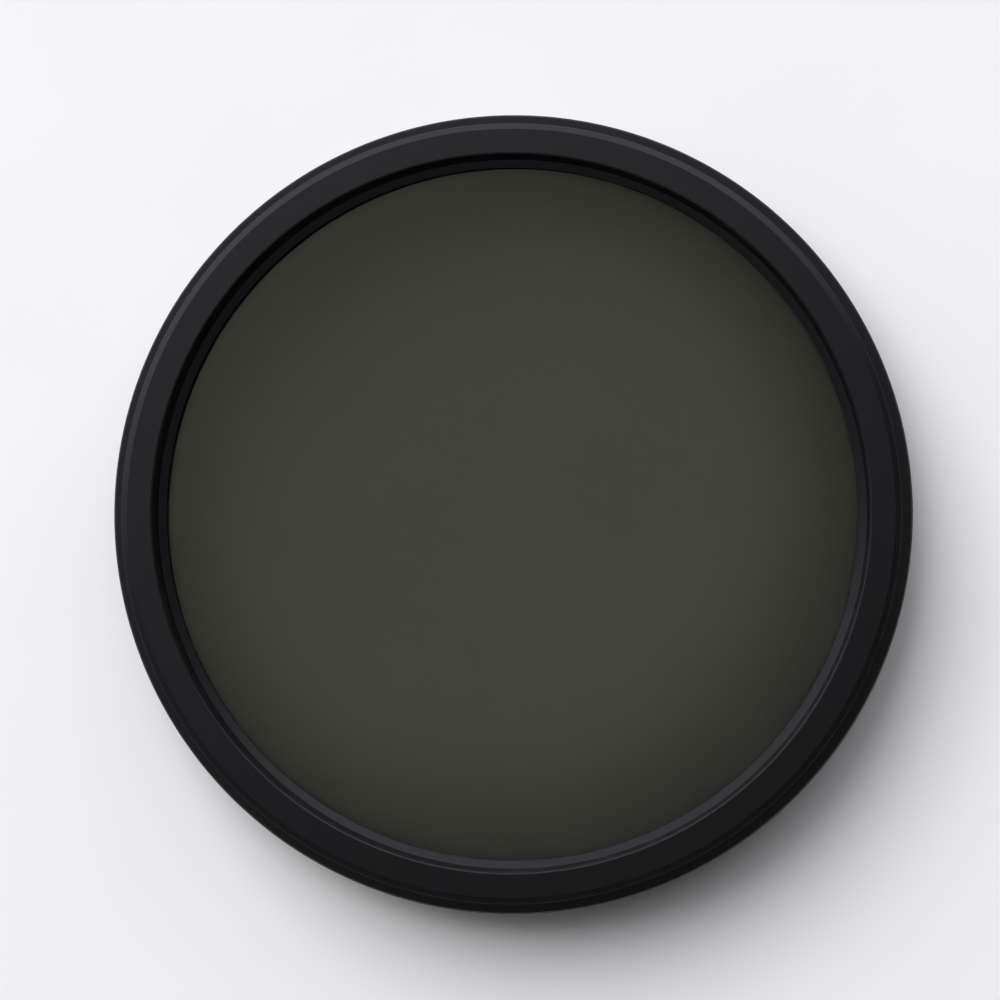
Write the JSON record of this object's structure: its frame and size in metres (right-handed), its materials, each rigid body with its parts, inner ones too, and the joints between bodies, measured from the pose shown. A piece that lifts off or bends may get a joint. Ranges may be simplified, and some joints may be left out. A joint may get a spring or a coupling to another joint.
{
  "type": "fluorescent correction filter",
  "caption": "Round screw-in photographic filter: dark olive-grey glass in a black anodised ring with a serrated grip, a male thread and a female thread.",
  "frame": {"origin": "on the optical axis, in the plane of the front rim that the filter lies on", "axes": "+Z along the optical axis, from the front rim towards the male thread"},
  "size_m": [0.054, 0.054, 0.0082],
  "materials": {
    "black_anodised": "satin black anodised, fine turning marks",
    "olive_glass": "polished, dark olive-grey body tint",
    "black_anodised_inner": "matt black anodised"
  },
  "bodies": {
    "root": {"filter_ring": "black_anodised", "filter_glass": "olive_glass", "retaining_ring": "black_anodised_inner"}
  },
  "joints": []
}
